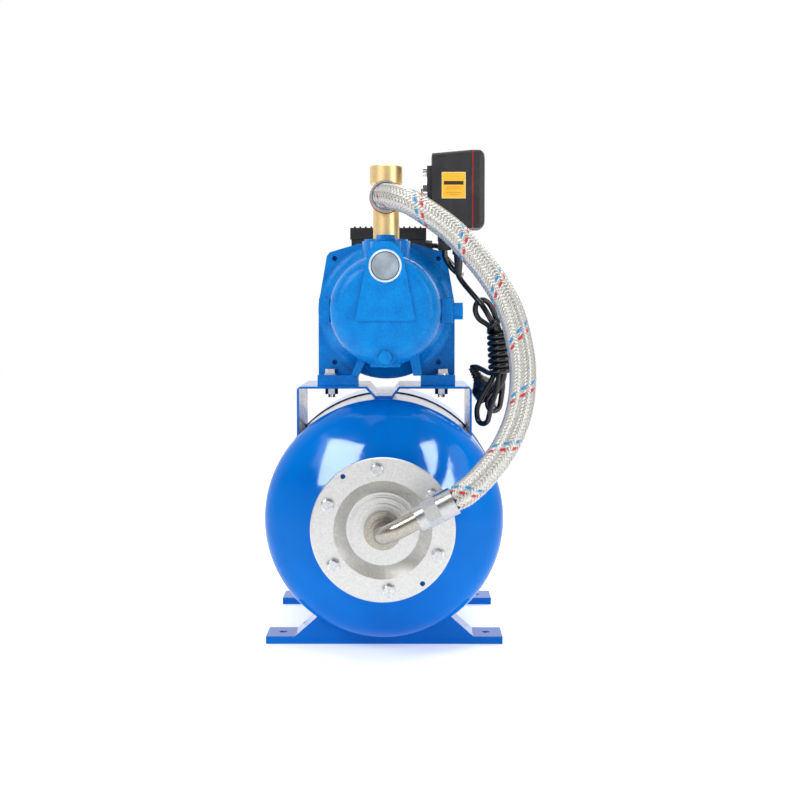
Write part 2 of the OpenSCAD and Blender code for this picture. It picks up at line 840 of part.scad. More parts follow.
module terminal_cover() {
    rib = 6.7;
    color("black") {
        difference() {
            translate([box_x0 - 1.5, box_y0 - 1.5, 467])
                cube([box_x1 - box_x0 + 3, box_y1 - box_y0 + 3, 14]);
            translate([box_x0 + 2, box_y0 + 2, 466])
                cube([box_x1 - box_x0 - 4, box_y1 - box_y0 - 4, 12.5]);
        }
        for (i = [0 : 12])
            translate([box_x0 + 3 + i * rib, box_y0, 480.9]) cube([2.2, box_y1 - box_y0, 1.8]);
    }
}

module capacitor() {
    color("gray") rod_x(46, 461, 11, -34, 30);
}

module motor_cable() {
    color("black") cord(CABLE_ROUTE, cable_d / 2, 3, 12);
}

// ---- Controls ----

module brass_fitting() {
    color("goldenrod") difference() {
        union() {
            rod_z(pump_x, fitting_y, spigot_r, 446, outlet_top);
            rod_z(pump_x, fitting_y, 15, 446, 524);
            translate([pump_x, fitting_y, 521]) cylinder(r1 = 15, r2 = 18.7, h = 4);
            rod_z(pump_x, fitting_y, 18.7, 525, 544);
            translate([pump_x, fitting_y, 544]) cylinder(r1 = 18.7, r2 = 17.7, h = 1);
            rod_y(pump_x, port_z, 16, -137, fitting_y);
            rod_y(pump_x, port_z, 8.8, -145.5, -130);
            rod_x(fitting_y, port_z + 2, 10, pump_x, 27);
            rod_x(fitting_y, port_z + 2, 9.5, 27, 33, 6);
            rod_x(fitting_y, port_z + 2, 6.5, 33, switch_x0 + 3);
            rod_y(pump_x, port_z, 10, fitting_y, -97);
        }
        rod_z(pump_x, fitting_y, 12, 440, 530);
        rod_z(pump_x, fitting_y, port_d / 2, 529, 546);
        rod_y(pump_x, port_z, 7, -146, fitting_y);
        rod_x(fitting_y, port_z + 2, 3.5, pump_x, switch_x0 + 4);
        rod_y(pump_x, port_z, 6, fitting_y, -96);
    }
}

module port_plug() {
    color("goldenrod") {
        rod_y(pump_x, port_z, 6, -105, -97);
        rod_y(pump_x, port_z, 9, -97, -90, 6);
    }
}

module switch_flange() {
    centre_z = port_z + 2;
    color("gainsboro") difference() {
        union() {
            rod_x(fitting_y, centre_z, 18, 41.5, 44);
            rod_x(fitting_y, centre_z, 25.5, 43.5, switch_x0);
            for (a = [0 : 90 : 270]) translate([0, fitting_y, centre_z]) rotate([a, 0, 0])
                rod_x(0, 30, 3.4, 44, switch_x0, 24);
        }
        rod_x(fitting_y, centre_z, 6.5, 40, switch_x0 + 1);
    }
}

// A block with rounded corners whose top and bottom spread from x0 to x1.
module flared_block(x0, x1, half, low0, low1, high0, high1, corner) {
    hull() for (side = [-1, 1]) {
        for (end = [[x0, low0, high0], [x1, low1, high1]]) {
            translate([end[0], fitting_y + side * (half - corner), end[1] + corner])
                rotate([0, 90, 0]) cylinder(r = corner, h = 0.2, $fn = 24);
            translate([end[0], fitting_y + side * (half - corner), end[2] - corner])
                rotate([0, 90, 0]) cylinder(r = corner, h = 0.2, $fn = 24);
        }
    }
}

module switch_housing() {
    wall = 2.2;
    color("darkslategray") difference() {
        union() {
            flared_block(switch_step, seal_x0 - 0.2, switch_half, 474.5, switch_bottom,
                557, switch_top, 4);
            translate([switch_x0, fitting_y - 27, 477]) cube([6, 54, 66]);
        }
        flared_block(switch_step + wall, seal_x0, switch_half - wall, 476.7, 474.9,
            554.8, 558.8, 3);
        rod_x(fitting_y, port_z + 2, 6.5, switch_x0 - 1, switch_x0 + 3);
        rod_x(fitting_y, port_z + 2, 5.05, switch_x0 + 2, switch_step + 5);
        for (x = [69, 85]) rod_z(x, fitting_y, gland_neck_r + 0.1, 470, 480, 32);
    }
    color("darkslategray") rod_y(80, 538, 1.5, -146, -90, 24);
}

module seal_ring_outline(inset, grow) {
    translate([-switch_half + inset - grow, switch_bottom + inset - grow])
        square([2 * (switch_half - inset + grow), switch_top - switch_bottom - 2 * inset + 2 * grow]);
}

module switch_seal() {
    color("darkred") translate([seal_x0, fitting_y, 0]) rotate([90, 0, 90])
        linear_extrude(seal_x1 - seal_x0) difference() {
            seal_ring_outline(1, 0.6);
            seal_ring_outline(3.5, 0);
        }
}

// The cover's outer end is rounded in layers of [distance from the end, inset].
module switch_cover() {
    color("darkslategray") difference() {
        hull() {
            flared_block(seal_x1, switch_x1 - 6.5, switch_half, switch_bottom, switch_bottom,
                switch_top, switch_top, 4);
            for (layer = COVER_LAYERS)
                translate([switch_x1 - layer[0] - 0.2, 0, 0]) end_plate(layer[1]);
        }
        flared_block(seal_x1 - 1, switch_x1 - 4, switch_half - 5, switch_bottom + 6,
            switch_bottom + 6, switch_top - 6, switch_top - 6, 3);
    }
}

// A thin rounded plate of the switch's outline, inset all round.
module end_plate(inset) {
    corner = 4 + inset / 2;
    for (side = [-1, 1], end_z = [switch_bottom + inset + corner, switch_top - inset - corner])
        translate([0, fitting_y + side * (switch_half - inset - corner), end_z])
            rotate([0, 90, 0]) cylinder(r = corner, h = 0.2, $fn = 24);
}

// Two glands under the switch and one on the terminal box.
module cable_glands() {
    color("black") difference() {
        union() {
            rod_x(20, 460, 6.8, box_x1, box_x1 + 4, 6);
            rod_x(20, 460, 6.5, box_x1 + 4, box_x1 + 9);
        }
        rod_x(20, 460, cable_d / 2, box_x1 - 1, box_x1 + 12, 32);
    }
    color("black") difference() {
        union() {
            rod_z(69, fitting_y, gland_neck_r, 470, 478);
            rod_z(69, fitting_y, 8, 459, 473.4);
            rod_z(69, fitting_y, 7.5, 449, 459, 6);
            rod_z(85, fitting_y, gland_neck_r, 470, 478);
            rod_z(85, fitting_y, 7, 444, 472.8);
            translate([85, fitting_y, 421]) cylinder(r1 = 4, r2 = 5.5, h = 23);
        }
        rod_z(69, fitting_y, cable_d / 2, 440, 480, 32);
        rod_z(85, fitting_y, mains_d / 2, 410, 480, 32);
    }
}

module switch_label() {
    color("orange") translate([65, fitting_y - switch_half - 0.3, 506]) cube([27, 0.3, 29.6]);
}

module switch_plunger() {
    centre_z = port_z + 2;
    color("white") {
        rod_x(fitting_y, centre_z, 5, switch_x0 + 3.5, 62);
        rod_x(fitting_y, centre_z, 8, 62, 65);
    }
}

module contact_arm() {
    color("orange") difference() {
        union() {
            rod_y(80, 538, 4, -126, -110);
            translate([65.8, -124, 497]) cube([2, 12, 38]);
            translate([65.8, -124, 533]) cube([16, 12, 2]);
        }
        rod_y(80, 538, 1.55, -127, -109, 24);
    }
}

// ---- Mains cord ----

module mains_cord() {
    color("black") cord(MAINS_ROUTE, mains_d / 2, 2, 12);
}

// The outer shape of the tied bundle of cord.
module cord_bundle() {
    color("black") slab(-137.5, -106.5) for (i = [0 : len(BUNDLE) - 2]) hull() {
        translate([BUNDLE[i][0], BUNDLE[i][1]]) circle(BUNDLE[i][2], $fn = 32);
        translate([BUNDLE[i + 1][0], BUNDLE[i + 1][1]]) circle(BUNDLE[i + 1][2], $fn = 32);
    }
}

// A two pin plug that hangs behind the bundle with its pins down to the right.
module mains_plug() {
    pin_half = 9.5;
    color("black") translate([110, -93, 300]) rotate([0, 148.5, 0]) {
        translate([0, 0, -16]) cylinder(r1 = 4.5, r2 = 7, h = 16);
        cylinder(r = 10, h = 12);
        translate([0, 0, 8]) cylinder(r = 16, h = 18);
    }
    color("silver") translate([110, -93, 300]) rotate([0, 148.5, 0])
        for (side = [-1, 1]) translate([0, side * pin_half, 26]) cylinder(r = 2.4, h = 19, $fn = 24);
}

tank_front_half();
tank_rear_half();
tank_weld_seam();
tank_membrane();
tank_flange();
flange_bolts();
flange_nuts();
front_foot();
rear_foot();
pump_bracket();
air_valve();
air_valve_cap();
flange_coupling();
elbow_tube();
lower_ferrule();
hose_braid();
hose_liner();
upper_nut();
hose_gasket();
pump_casing();
suction_cap();
drain_plug();
priming_plug();
side_plug();
jet_nozzle();
venturi_tube();
diffuser();
impeller();
impeller_nut();
seal_ring();
seal_seat();
casing_bolts();
motor_adapter();
foot_bolts();
motor_shaft();
bearings();
rotor_core();
stator_core();
windings();
motor_housing();
rear_shield();
fan();
fan_cover();
terminal_box();
terminal_cover();
capacitor();
cable_glands();
motor_cable();
brass_fitting();
port_plug();
switch_flange();
switch_housing();
switch_seal();
switch_cover();
switch_label();
switch_plunger();
contact_arm();
mains_cord();
cord_bundle();
mains_plug();
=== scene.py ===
"""Looks for an automatic booster set: a jet pump with its motor on a pressure tank."""

import math

import bpy
import numpy as np
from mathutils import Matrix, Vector


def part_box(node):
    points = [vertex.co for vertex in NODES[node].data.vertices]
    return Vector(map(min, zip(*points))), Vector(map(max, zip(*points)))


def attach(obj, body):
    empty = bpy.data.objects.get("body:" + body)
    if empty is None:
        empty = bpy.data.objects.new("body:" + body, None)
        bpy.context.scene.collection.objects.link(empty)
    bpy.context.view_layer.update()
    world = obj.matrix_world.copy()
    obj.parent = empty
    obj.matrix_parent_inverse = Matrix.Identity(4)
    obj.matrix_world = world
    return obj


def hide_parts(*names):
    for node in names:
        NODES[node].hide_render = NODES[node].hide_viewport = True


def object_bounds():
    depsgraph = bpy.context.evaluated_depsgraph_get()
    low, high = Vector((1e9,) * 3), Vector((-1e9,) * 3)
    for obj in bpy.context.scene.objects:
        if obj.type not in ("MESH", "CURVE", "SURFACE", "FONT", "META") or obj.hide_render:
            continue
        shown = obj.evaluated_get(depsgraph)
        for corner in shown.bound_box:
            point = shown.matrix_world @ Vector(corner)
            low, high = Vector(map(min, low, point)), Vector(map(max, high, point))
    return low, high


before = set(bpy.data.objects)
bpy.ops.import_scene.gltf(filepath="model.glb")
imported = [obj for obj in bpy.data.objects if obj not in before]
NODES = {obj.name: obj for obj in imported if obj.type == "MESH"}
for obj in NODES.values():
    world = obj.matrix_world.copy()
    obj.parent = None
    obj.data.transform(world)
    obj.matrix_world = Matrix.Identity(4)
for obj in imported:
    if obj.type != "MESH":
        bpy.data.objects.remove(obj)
cad_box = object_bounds()

MM = 0.001
SET = "set"

# ---- The stage, in metres, with the camera's place in millimetres ----

CAMERA_AT = (24.75, -1983, 373.4)
CAMERA_AIM = (-0.00371, 1, -0.0519)
CAMERA_LENS = 72.8
SENSOR_WIDTH = 36

# The world is dim in front of the object and bright behind it, with a brighter band low down.
ROOM_LIGHT = 0.12
BACKDROP_LIGHT = 1.02
BACKDROP_FROM, BACKDROP_TO = -0.35, 0.45
HORIZON_LIGHT = 0.74
HORIZON_FROM, HORIZON_TO = 0.1, 0.34

FLOOR_SIZE = 120
FLOOR_GAP = 0.0002
FLOOR_GLOW = 0.42

# Name, place, width, height, power, and whether only the glossy nodes reflect it.
LAMPS = [
    ("key", (-0.95, -1.25, 1.3), 0.85, 0.65, 12.5, False),
    ("fill", (1.2, -1.05, 0.75), 0.6, 1.1, 8, False),
    ("top", (0.1, -0.2, 1.75), 1.4, 1.0, 12, False),
    ("rear", (0.6, 1.6, 1.2), 1.2, 0.9, 10, False),
    ("glint_left", (-0.85, -1.35, 1.1), 0.75, 0.95, 150, True),
    ("glint_right", (1.05, -1.3, 1.05), 0.5, 1.1, 115, True),
]
GLOSSY_NODES = ["tank_front_half", "tank_rear_half", "front_foot", "rear_foot", "pump_bracket"]
BLUE_SHEEN = (0.45, 0.72, 1.0, 1.0)
TANK_SHEEN = (0.7, 0.85, 1.0, 1.0)
WHITE = (1, 1, 1, 1)

# ---- Sizes and places of the pieces, in millimetres ----

HOSE_RADIUS = 14.25
HOSE_CRIMPED = 12.3  # its radius at the lower ferrule
HOSE_SWELL = 16      # how far from the ferrule it is back to its full radius
HOSE_HIDDEN = 3      # the end of the route that is left out, inside the ferrule
CORE_INSET = 0.75
CORE_STEP = 4
CORE_SIDES = 32
BRAID_STRANDS = 16   # in each hand
BRAID_PITCH = 63
BRAID_WIDTH = 3.0
BRAID_LIFT = 0.34    # how far a strand rises and sinks as it passes over and under
BRAID_SINK = 0.42    # how far the braid's middle lies below the hose's radius
# A strand's cross section: (share of its half width, height).
BRAID_CROWN = [(-1.0, -0.26), (-0.62, -0.02), (0.0, 0.07), (0.62, -0.02), (1.0, -0.26)]
TRACERS = {13: "braid_red", 15: "braid_blue"}

HOSE_ROUTE = [
    (2, -152, 508), (2, -165, 507.5), (5.5, -179, 506), (15, -195, 503.5),
    (29.5, -207.5, 497.5), (47.5, -215, 486), (71, -221, 468.5), (90.5, -228, 448.5),
    (116, -240, 416), (135, -254, 382), (145, -267, 344), (148, -279, 309),
    (142.5, -292, 270.5), (126, -305, 234), (101.5, -316, 204.5), (81, -323, 188),
    (70, -325, 181.5),
]

CORD_RADIUS = 3.2
CORD_EXIT = (85, -118, 421)
# The cord's run from the switch, then its folded strands. The wraps follow, then the tail.
CORD_RUN = [
    CORD_EXIT, (86.5, -118.2, 417.5), (91, -119, 411), (98, -121.5, 402.5),
    (106, -125.5, 393), (113, -130, 384), (119.5, -132, 373), (125, -130, 363),
]
CORD_FOLDS = [
    (129, -126, 352), (131, -125, 336), (132, -125, 318), (131, -125.5, 302),
    (127, -127, 284), (122.5, -128.3, 270), (120, -127.5, 258), (118.1, -125.9, 252),
    (113.5, -122, 249.5), (108.9, -118.1, 252), (107, -116.5, 258), (107.5, -116.3, 269),
    (115, -117.5, 285), (124, -118.5, 301), (130, -118.7, 318), (130, -118.7, 338),
    (126.5, -118, 354), (119, -118, 363), (109, -119, 370), (104.5, -121, 379),
    (106, -122, 388), (112.5, -121.5, 392), (120, -119.5, 388), (126.5, -117, 376),
    (131, -118, 360), (136.5, -118.7, 345), (137, -118.7, 325), (136.5, -118.5, 306),
    (136, -116.5, 290), (134, -113.6, 273.5), (131.75, -114.8, 266.8),
    (126.3, -117.8, 264), (120.9, -120.8, 266.8), (118.6, -122, 273.5), (123, -121.6, 281),
    (129, -121.3, 288), (134.5, -122.7, 296), (137.6, -125, 306), (137.5, -125.3, 322),
    (137.6, -125, 338), (137.4, -125.2, 351), (138.2, -127, 359), (138.6, -132, 366),
    (134, -137.4, 369), (126.2, -137.4, 365.5), (120.6, -132.2, 359.3),
]
CORD_TAIL = [
    (119.8, -117.3, 308.4), (113.5, -107.5, 311.5), (106.8, -99.3, 314.2), (101.6, -93, 313.6),
]
WRAP_AXIS = ((132.5, -122, 356), (134.8, -122, 309))
WRAP_RADIUS = 12.3
WRAP_TURNS = 7
WRAP_POINTS = 14       # in each turn
WRAP_START = 0.9       # in half turns from the right, by way of the front

PLUG_AT = (110, -93, 300)
PLUG_AXIS = (0.5225, 0, -0.8526)
PLUG_PIN_HALF = 9.5
SLEEVE_RIBS = 4
RIB_PITCH = 3.4
RIB_GROWTH = 0.45

CAP_RIM_AT = (2, -217.6, 428)


# ---- Small tools ----


def curve_through(route, step=1.0):
    """Points about one step apart on a smooth curve through the route's points."""
    p = np.array(route, float)
    p = np.vstack([2 * p[0] - p[1], p, 2 * p[-1] - p[-2]])
    found = []
    for a, b, c, d in zip(p, p[1:], p[2:], p[3:]):
        count = max(2, int(np.linalg.norm(c - b) / step))
        for t in np.arange(count) / count:
            found.append((2 * b + (c - a) * t + (2 * a - 5 * b + 4 * c - d) * t * t
                          + (3 * b - a - 3 * c + d) * t ** 3) / 2)
    found.append(p[-2])
    return np.array(found)


def spaced(points, step):
    """The same line, with its points an even step apart, and their distances along it."""
    lengths = np.r_[0, np.cumsum(np.linalg.norm(np.diff(points, axis=0), axis=1))]
    at = np.linspace(0, lengths[-1], max(2, int(lengths[-1] / step) + 1))
    return np.stack([np.interp(at, lengths, points[:, i]) for i in range(3)], 1), at


def frames_along(points):
    """A tangent and two normals at each point, carried along without twisting."""
    tangents = np.gradient(points, axis=0)
    tangents /= np.linalg.norm(tangents, axis=1)[:, None]
    normal = np.array([0, 0.1, 1.0])
    normals = []
    for t in tangents:
        normal = normal - (normal @ t) * t
        normal /= np.linalg.norm(normal)
        normals.append(normal)
    normals = np.array(normals)
    return tangents, normals, np.cross(tangents, normals)


def piece(name, vertices, faces, material, body=SET):
    """A mesh given in millimetres, which rides on a body."""
    mesh = bpy.data.meshes.new(name)
    mesh.from_pydata([tuple(v) for v in np.array(vertices, float) * MM], [], faces)
    mesh.update()
    mesh.materials.append(material)
    mesh.polygons.foreach_set("use_smooth", [True] * len(mesh.polygons))
    made = bpy.data.objects.new(name, mesh)
    bpy.context.scene.collection.objects.link(made)
    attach(made, body)
    return made


def grid_faces(rows, columns, start=0, closed=False):
    """Quads over rows of points, each row joined to itself if it is closed."""
    faces = []
    for i in range(rows - 1):
        for k in range(columns if closed else columns - 1):
            m = (k + 1) % columns
            faces.append((start + i * columns + k, start + i * columns + m,
                          start + (i + 1) * columns + m, start + (i + 1) * columns + k))
    return faces


# ---- Materials ----


SOCKETS = {
    "specular": "Specular IOR Level", "coat": "Coat Weight", "coat_roughness": "Coat Roughness",
    "glow": "Emission Strength", "sheen": "Specular Tint",
}


class Surface:
    """A Principled material with helpers that wire procedural detail into it."""

    def __init__(self, name, colour, metallic=0.0, roughness=0.5, **sockets):
        self.material = bpy.data.materials.new(name)
        self.material.use_nodes = True
        self.tree = self.material.node_tree
        self.shader = self.tree.nodes["Principled BSDF"]
        self.shader.inputs["Base Color"].default_value = (*colour, 1)
        self.shader.inputs["Metallic"].default_value = metallic
        self.shader.inputs["Roughness"].default_value = roughness
        for socket, value in sockets.items():
            self.shader.inputs[SOCKETS[socket]].default_value = value
        self.colour = colour
        self.where = self.add("ShaderNodeTexCoord").outputs["Object"]

    def add(self, kind, links=(), **values):
        """Adds a node. Links maps its inputs to sockets or plain values."""
        made = self.tree.nodes.new(kind)
        for key, value in values.items():
            setattr(made, key, value)
        for socket, source in dict(links).items():
            if isinstance(source, bpy.types.NodeSocket):
                self.tree.links.new(source, made.inputs[socket])
            else:
                made.inputs[socket].default_value = source
        return made

    def stretched(self, scale):
        return self.add("ShaderNodeVectorMath", {0: self.where, 1: scale},
                        operation="MULTIPLY").outputs[0]

    def noise(self, size, detail=3.0, roughness=0.5, scale=None):
        """Noise whose features are about size millimetres across."""
        where = self.where if scale is None else self.stretched(scale)
        return self.add("ShaderNodeTexNoise", {
            "Vector": where, "Scale": 1 / (size * MM), "Detail": detail,
            "Roughness": roughness}).outputs["Fac"]

    def cells(self, size, output="Distance"):
        return self.add("ShaderNodeTexVoronoi", {
            "Vector": self.where, "Scale": 1 / (size * MM)}).outputs[output]

    def ranged(self, value, low, high, start=0.0, end=1.0):
        return self.add("ShaderNodeMapRange", {
            "Value": value, "From Min": low, "From Max": high,
            "To Min": start, "To Max": end}).outputs["Result"]

    def mixed(self, factor, a, b):
        made = self.add("ShaderNodeMix", data_type="RGBA")
        for socket, source in ((0, factor), (6, a), (7, b)):
            if isinstance(source, bpy.types.NodeSocket):
                self.tree.links.new(source, made.inputs[socket])
            else:
                made.inputs[socket].default_value = source if socket == 0 else (*source, 1)
        return made.outputs[2]

    def math(self, operation, a, b=0.0):
        return self.add("ShaderNodeMath", {0: a, 1: b}, operation=operation).outputs[0]

    def paint(self, colour):
        self.tree.links.new(colour, self.shader.inputs["Base Color"])
        return self

    def tinted(self, other, factor):
        """Varies the base colour towards another one."""
        return self.paint(self.mixed(factor, self.colour, other))

    def rough(self, value):
        self.tree.links.new(value, self.shader.inputs["Roughness"])
        return self

    def relief(self, height, depth, edge=0.0):
        """Bumps of a depth in millimetres, over edges rounded by a radius in millimetres."""
        links = {"Height": height, "Distance": depth * MM, "Strength": 1.0}
        if edge:
            links["Normal"] = self.add("ShaderNodeBevel", {"Radius": edge * MM},
                                       samples=4).outputs[0]
        bump = self.add("ShaderNodeBump", links)
        self.tree.links.new(bump.outputs[0], self.shader.inputs["Normal"])
        return self


def tank_paint():
    s = Surface("tank_paint", (0.0, 0.165, 0.62), roughness=0.1, specular=0.14,
                sheen=TANK_SHEEN)
    s.tinted((0.0, 0.13, 0.53), s.ranged(s.noise(60, 2), 0.3, 0.8))
    s.rough(s.ranged(s.noise(9, 4), 0.3, 0.7, 0.06, 0.13))
    return s.relief(s.noise(3.2, 2), 0.01, edge=0.8).material


def bracket_paint():
    s = Surface("bracket_paint", (0.0, 0.165, 0.6), roughness=0.16, specular=0.4,
                sheen=BLUE_SHEEN)
    s.tinted((0.0, 0.13, 0.48), s.ranged(s.noise(25, 3), 0.3, 0.75))
    s.rough(s.ranged(s.noise(5, 4), 0.3, 0.7, 0.1, 0.22))
    return s.relief(s.noise(2.2, 3), 0.02, edge=1.0).material


def cast_paint():
    s = Surface("cast_paint", (0.0, 0.22, 0.62), roughness=0.28, specular=0.3,
                coat=0.06, coat_roughness=0.12, sheen=BLUE_SHEEN)
    specks = s.ranged(s.cells(1.7), 0.12, 0.5)
    s.paint(s.mixed(s.ranged(s.noise(22, 3), 0.35, 0.7),
                    s.mixed(specks, (0.002, 0.3, 0.74), (0.0, 0.21, 0.63)),
                    s.mixed(specks, (0.0, 0.235, 0.66), (0.0, 0.155, 0.52))))
    s.rough(s.ranged(s.noise(4, 4), 0.3, 0.7, 0.2, 0.36))
    height = s.math("ADD", s.noise(1.5, 3, 0.6), s.noise(5, 2))
    return s.relief(height, 0.16, edge=2.0).material


def housing_paint():
    s = Surface("housing_paint", (0.0, 0.2, 0.6), roughness=0.32)
    s.tinted((0.0, 0.15, 0.5), s.ranged(s.noise(14, 3), 0.35, 0.7))
    return s.relief(s.noise(1.4, 3), 0.05, edge=0.5).material


def seam_paint():
    s = Surface("seam_paint", (0.003, 0.09, 0.4), roughness=0.35)
    s.tinted((0.002, 0.05, 0.22), s.ranged(s.noise(4, 4), 0.3, 0.7))
    return s.relief(s.noise(1.8, 3), 0.3, edge=0.5).material


def galvanised():
    s = Surface("galvanised", (0.66, 0.66, 0.65), metallic=1.0, roughness=0.33)
    spangle = s.cells(1.6, "Color")
    value = s.add("ShaderNodeSeparateColor", {0: spangle}).outputs[0]
    s.paint(s.mixed(value, (0.61, 0.615, 0.61), (0.73, 0.73, 0.72)))
    s.rough(s.ranged(s.math("ADD", s.noise(7, 4), value), 0.4, 1.6, 0.3, 0.44))
    return s.relief(s.noise(0.9, 4), 0.02, edge=0.6).material


def zinc():
    s = Surface("zinc", (0.66, 0.67, 0.68), metallic=1.0, roughness=0.25)
    s.tinted((0.5, 0.52, 0.56), s.ranged(s.noise(3, 4), 0.35, 0.7))
    s.rough(s.ranged(s.noise(1.2, 4), 0.3, 0.7, 0.18, 0.4))
    return s.relief(s.noise(0.8, 3), 0.02, edge=0.35).material


def plated(name, colour, dark, size, low, high, stretch=None):
    """A plated or drawn metal with fine streaks."""
    s = Surface(name, colour, metallic=1.0, roughness=low)
    s.tinted(dark, s.ranged(s.noise(size * 4, 3, scale=stretch), 0.3, 0.75))
    s.rough(s.ranged(s.noise(size, 5, 0.6, scale=stretch), 0.3, 0.7, low, high))
    return s.relief(s.noise(size, 3, scale=stretch), 0.012, edge=0.4).material


def moulded(name, colour, grain=0.8, low=0.35, high=0.55, depth=0.03, edge=0.6):
    """A moulded plastic with a fine spark-eroded grain."""
    s = Surface(name, colour, roughness=low)
    lighter = tuple(min(1, c * 1.7 + 0.004) for c in colour)
    s.tinted(lighter, s.ranged(s.noise(12, 3), 0.35, 0.8))
    s.rough(s.ranged(s.noise(6, 4), 0.3, 0.7, low, high))
    return s.relief(s.noise(grain, 2), depth, edge=edge).material


def braid(name, colour, dark, metallic):
    s = Surface(name, colour, metallic=metallic, roughness=0.3)
    s.tinted(dark, s.ranged(s.noise(2.4, 3), 0.45, 0.8))
    s.rough(s.ranged(s.noise(1.2, 3), 0.3, 0.7, 0.24, 0.45))
    return s.relief(s.noise(0.5, 3, 0.7), 0.1).material


def label():
    """A plain yellow sticker with a pale border, a dark bar and thin rules."""
    low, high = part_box("switch_label")
    s = Surface("label", (0.95, 0.5, 0.03), roughness=0.35)
    place = s.add("ShaderNodeSeparateXYZ", {0: s.where})
    across = s.ranged(place.outputs[0], low.x, high.x)
    up = s.ranged(place.outputs[2], low.z, high.z)

    def between(value, start, end):
        return s.math("MULTIPLY", s.math("GREATER_THAN", value, start),
                      s.math("LESS_THAN", value, end))

    inside = s.math("MULTIPLY", between(across, 0.03, 0.97), between(up, 0.027, 0.973))
    bar = s.math("MULTIPLY", between(across, 0.09, 0.91), between(up, 0.52, 0.66))
    marks = bar
    for place_up, width in ((0.43, 0.3), (0.36, 0.34), (0.22, 0.32), (0.15, 0.2)):
        rule = s.math("MULTIPLY", between(across, 0.5 - width, 0.5 + width),
                      between(up, place_up - 0.012, place_up + 0.012))
        marks = s.math("MAXIMUM", marks, s.math("MULTIPLY", rule, 0.45))
    yellow = s.mixed(s.ranged(s.noise(8), 0.3, 0.7), (0.96, 0.5, 0.03), (0.9, 0.45, 0.025))
    s.paint(s.mixed(marks, s.mixed(inside, (0.9, 0.66, 0.3), yellow), (0.03, 0.018, 0.01)))
    return s.relief(s.noise(1.5), 0.01).material


def dress():
    """Gives every CAD node its material."""
    tank, bracket, cast, housing = tank_paint(), bracket_paint(), cast_paint(), housing_paint()
    zinc_plate, flange = zinc(), galvanised()
    rings_y = (1, 0.04, 1)
    nickel = plated("nickel", (0.46, 0.435, 0.385), (0.33, 0.305, 0.265), 0.5, 0.16, 0.34)
    bright = plated("bright_steel", (0.54, 0.54, 0.54), (0.42, 0.43, 0.44), 0.6, 0.2, 0.36)
    brass = plated("brass_satin", (0.86, 0.66, 0.34), (0.76, 0.55, 0.26), 0.5, 0.34, 0.5)
    steel = plated("turned_steel", (0.62, 0.62, 0.64), (0.5, 0.5, 0.52), 0.5, 0.2, 0.35,
                   stretch=rings_y)
    chrome = plated("chrome", (0.85, 0.85, 0.87), (0.7, 0.71, 0.74), 0.8, 0.08, 0.2)
    switch = moulded("switch_plastic", (0.013, 0.013, 0.015), 0.7, 0.42, 0.6, 0.035, 1.2)
    box = moulded("box_plastic", (0.008, 0.008, 0.009), 1.2, 0.14, 0.26, 0.02, 0.6)
    black = moulded("black_plastic", (0.014, 0.014, 0.016), 0.9, 0.35, 0.5)
    cord = moulded("cord_black", (0.004, 0.004, 0.0045), 1.5, 0.1, 0.2, 0.015)
    rubber = moulded("black_rubber", (0.02, 0.02, 0.02), 1.0, 0.5, 0.7)
    red = moulded("red_rubber", (0.36, 0.012, 0.012), 1.0, 0.35, 0.5)
    grey = moulded("grey_plastic", (0.21, 0.25, 0.29), 0.9, 0.35, 0.5)
    pale = moulded("pale_plastic", (0.75, 0.74, 0.7), 0.9, 0.3, 0.45)
    copper = plated("copper", (0.7, 0.3, 0.14), (0.5, 0.18, 0.08), 0.8, 0.3, 0.45)
    laminated = plated("laminations", (0.3, 0.3, 0.31), (0.2, 0.2, 0.21), 0.6, 0.35, 0.5,
                       stretch=(0.1, 3, 0.1))
    looks = {
        tank: ["tank_front_half", "tank_rear_half", "front_foot", "rear_foot"],
        bracket: ["pump_bracket"],
        cast: ["pump_casing", "motor_adapter", "priming_plug", "side_plug", "drain_plug"],
        housing: ["motor_housing", "rear_shield"],
        seam_paint(): ["tank_weld_seam"],
        flange: ["tank_flange"],
        zinc_plate: ["flange_bolts", "flange_nuts", "foot_bolts", "casing_bolts"],
        nickel: ["flange_coupling", "elbow_tube"],
        bright: ["lower_ferrule", "upper_nut", "seal_ring"],
        brass: ["brass_fitting", "port_plug", "air_valve", "jet_nozzle", "impeller",
                "impeller_nut"],
        steel: ["motor_shaft", "bearings"],
        chrome: ["switch_flange"],
        switch: ["switch_housing", "switch_cover"],
        box: ["terminal_box", "terminal_cover", "fan_cover"],
        black: ["air_valve_cap", "fan", "cable_glands", "venturi_tube", "diffuser",
                "mains_plug"],
        cord: ["motor_cable", "mains_cord", "cord_bundle"],
        rubber: ["tank_membrane", "hose_liner", "hose_braid"],
        red: ["switch_seal", "hose_gasket"],
        grey: ["suction_cap", "capacitor"],
        pale: ["seal_seat", "switch_plunger"],
        copper: ["windings", "contact_arm"],
        laminated: ["rotor_core", "stator_core"],
        label(): ["switch_label"],
    }
    for material, names in looks.items():
        for name in names:
            mesh = NODES[name].data
            mesh.materials.clear()
            mesh.materials.append(material)
    return {"cord": cord, "plug": moulded("plug_black", (0.008, 0.008, 0.009), 0.9, 0.22, 0.4),
            "steel": steel, "rim": moulded("rim_plastic", (0.5, 0.58, 0.66), 0.9, 0.25, 0.4)}


# ---- Stage ----


def make_camera(scene):
    camera = bpy.data.objects.new("camera", bpy.data.cameras.new("camera"))
    scene.collection.objects.link(camera)
    camera.location = Vector(CAMERA_AT) * MM
    camera.rotation_mode = "QUATERNION"
    camera.rotation_quaternion = Vector(CAMERA_AIM).to_track_quat("-Z", "Y")
    camera.data.lens = CAMERA_LENS
    camera.data.sensor_width = SENSOR_WIDTH
    camera.data.clip_end = 2 * FLOOR_SIZE
    scene.camera = camera


